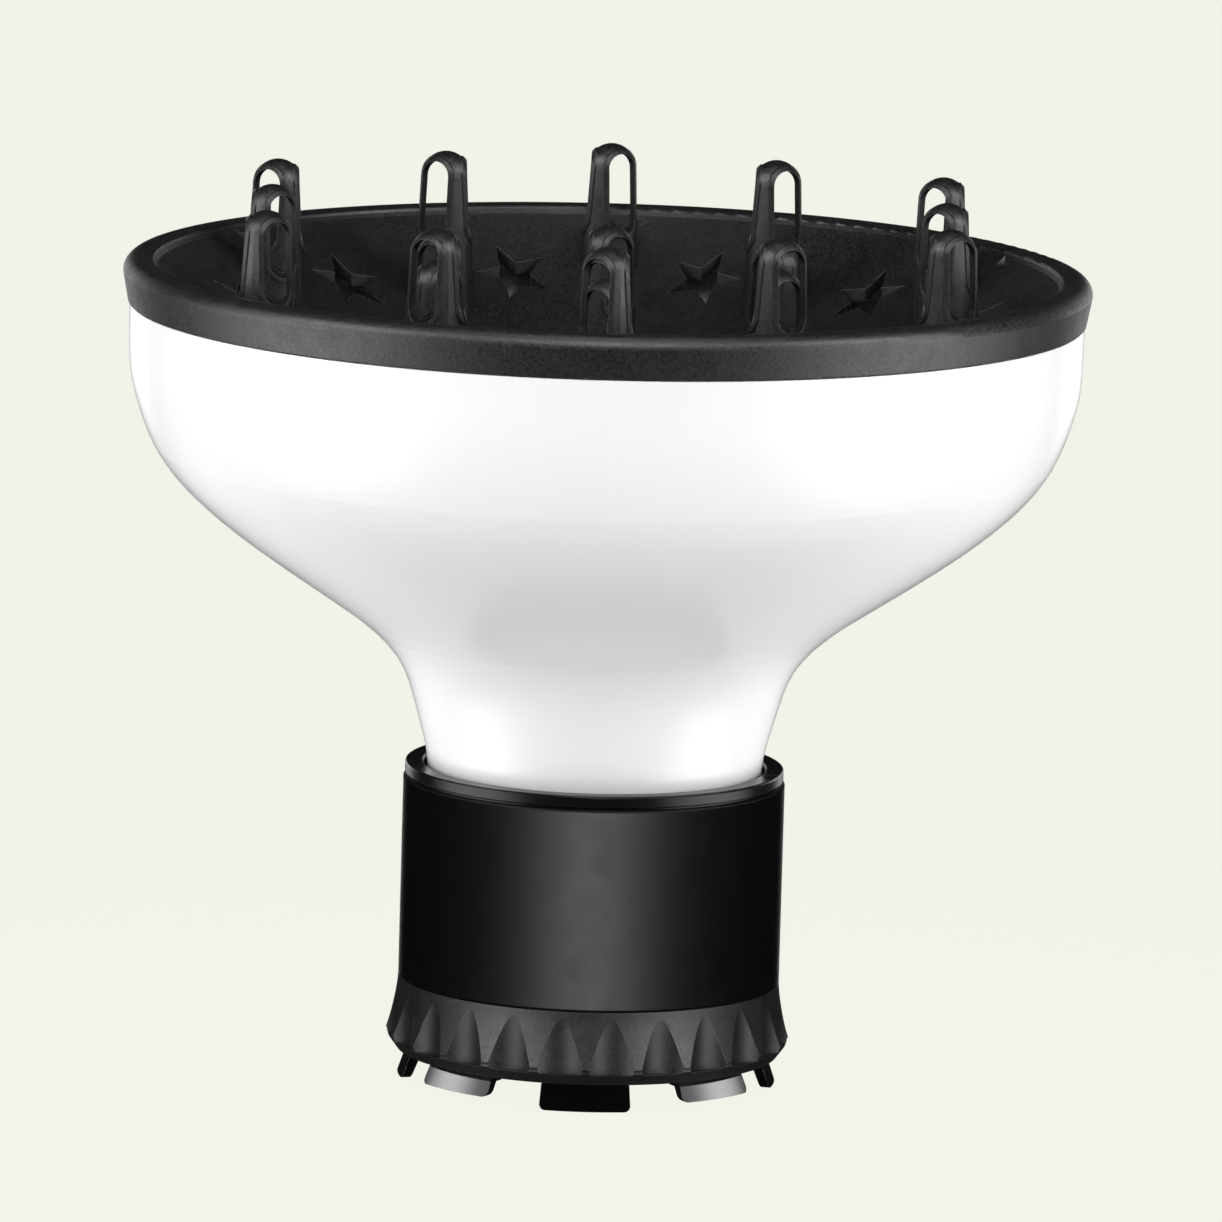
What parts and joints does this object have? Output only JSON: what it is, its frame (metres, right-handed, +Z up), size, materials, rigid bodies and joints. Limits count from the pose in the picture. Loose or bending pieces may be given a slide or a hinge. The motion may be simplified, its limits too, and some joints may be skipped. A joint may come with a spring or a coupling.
{
  "type": "dryer diffuser",
  "caption": "Salon hair dryer diffuser: a wide bowl with a pronged, vented dish over a twist-ring adapter whose radial jaws close together on a round dryer nozzle.",
  "frame": {"origin": "on the axis of the bowl, at the level of the open jaws' feet, the bottom centre of the object", "axes": "+Z runs up the axis from the dryer nozzle to the dish, -Y is the front, where jaw_1 is, and +X is to its right"},
  "size_m": [0.1798, 0.1798, 0.1664],
  "materials": {
    "black_satin": "fine satin moulded plastic",
    "white_gloss": "polished white moulded plastic",
    "black_gloss": "polished black moulded plastic",
    "black_sleeve": "smooth semi-gloss black plastic",
    "black_grip": "matte moulded grip",
    "black_nylon": "plain moulded nylon",
    "grey_acetal": "self-lubricating acetal",
    "rubber": "soft silicone rubber",
    "steel": "stainless steel"
  },
  "bodies": {
    "housing": {"diffuser_plate": "black_satin", "bowl_shell": "white_gloss", "rim_seal": "rubber", "neck_screws": "steel", "neck_gasket": "rubber", "neck_socket": "black_nylon", "collar_ring": "black_gloss", "outer_sleeve": "black_sleeve", "guide_hub": "black_nylon", "wave_spring": "steel"},
    "grip_ring": {"twist_ring": "black_grip", "scroll_cam": "grey_acetal"},
    "jaw_set_1": {"jaw_1": "black_gloss", "jaw_carriage_1": "grey_acetal", "grip_pad_1": "rubber"},
    "jaw_set_2": {"jaw_2": "black_gloss", "jaw_carriage_2": "grey_acetal", "grip_pad_2": "rubber"},
    "jaw_set_3": {"jaw_3": "black_gloss", "jaw_carriage_3": "grey_acetal", "grip_pad_3": "rubber"},
    "jaw_set_4": {"jaw_4": "black_gloss", "jaw_carriage_4": "grey_acetal", "grip_pad_4": "rubber"},
    "jaw_set_5": {"jaw_5": "black_gloss", "jaw_carriage_5": "grey_acetal", "grip_pad_5": "rubber"},
    "jaw_set_6": {"jaw_6": "black_gloss", "jaw_carriage_6": "grey_acetal", "grip_pad_6": "rubber"},
    "jaw_set_7": {"jaw_7": "black_gloss", "jaw_carriage_7": "grey_acetal", "grip_pad_7": "rubber"},
    "jaw_set_8": {"jaw_8": "black_gloss", "jaw_carriage_8": "grey_acetal", "grip_pad_8": "rubber"}
  },
  "joints": [
    {"name": "ring_turn", "type": "hinge", "parent": "housing", "child": "grip_ring", "pos_m": [0, 0, 0.012], "axis": [0, 0, 1], "range_deg": [0, 60]},
    {"name": "jaw_slide_1", "type": "slide", "parent": "housing", "child": "jaw_set_1", "axis": [0, 1, 0], "range_m": [0, 0.0065]},
    {"name": "jaw_slide_2", "type": "slide", "parent": "housing", "child": "jaw_set_2", "axis": [-0.7071, 0.7071, 0], "range_m": [0, 0.0065]},
    {"name": "jaw_slide_3", "type": "slide", "parent": "housing", "child": "jaw_set_3", "axis": [-1, 0, 0], "range_m": [0, 0.0065]},
    {"name": "jaw_slide_4", "type": "slide", "parent": "housing", "child": "jaw_set_4", "axis": [-0.7071, -0.7071, 0], "range_m": [0, 0.0065]},
    {"name": "jaw_slide_5", "type": "slide", "parent": "housing", "child": "jaw_set_5", "axis": [0, -1, 0], "range_m": [0, 0.0065]},
    {"name": "jaw_slide_6", "type": "slide", "parent": "housing", "child": "jaw_set_6", "axis": [0.7071, -0.7071, 0], "range_m": [0, 0.0065]},
    {"name": "jaw_slide_7", "type": "slide", "parent": "housing", "child": "jaw_set_7", "axis": [1, 0, 0], "range_m": [0, 0.0065]},
    {"name": "jaw_slide_8", "type": "slide", "parent": "housing", "child": "jaw_set_8", "axis": [0.7071, 0.7071, 0], "range_m": [0, 0.0065]}
  ],
  "couplings": [
    {"joint": "jaw_slide_1", "follows": "ring_turn", "m_per_rad": 0.006207},
    {"joint": "jaw_slide_2", "follows": "ring_turn", "m_per_rad": 0.006207},
    {"joint": "jaw_slide_3", "follows": "ring_turn", "m_per_rad": 0.006207},
    {"joint": "jaw_slide_4", "follows": "ring_turn", "m_per_rad": 0.006207},
    {"joint": "jaw_slide_5", "follows": "ring_turn", "m_per_rad": 0.006207},
    {"joint": "jaw_slide_6", "follows": "ring_turn", "m_per_rad": 0.006207},
    {"joint": "jaw_slide_7", "follows": "ring_turn", "m_per_rad": 0.006207},
    {"joint": "jaw_slide_8", "follows": "ring_turn", "m_per_rad": 0.006207}
  ]
}
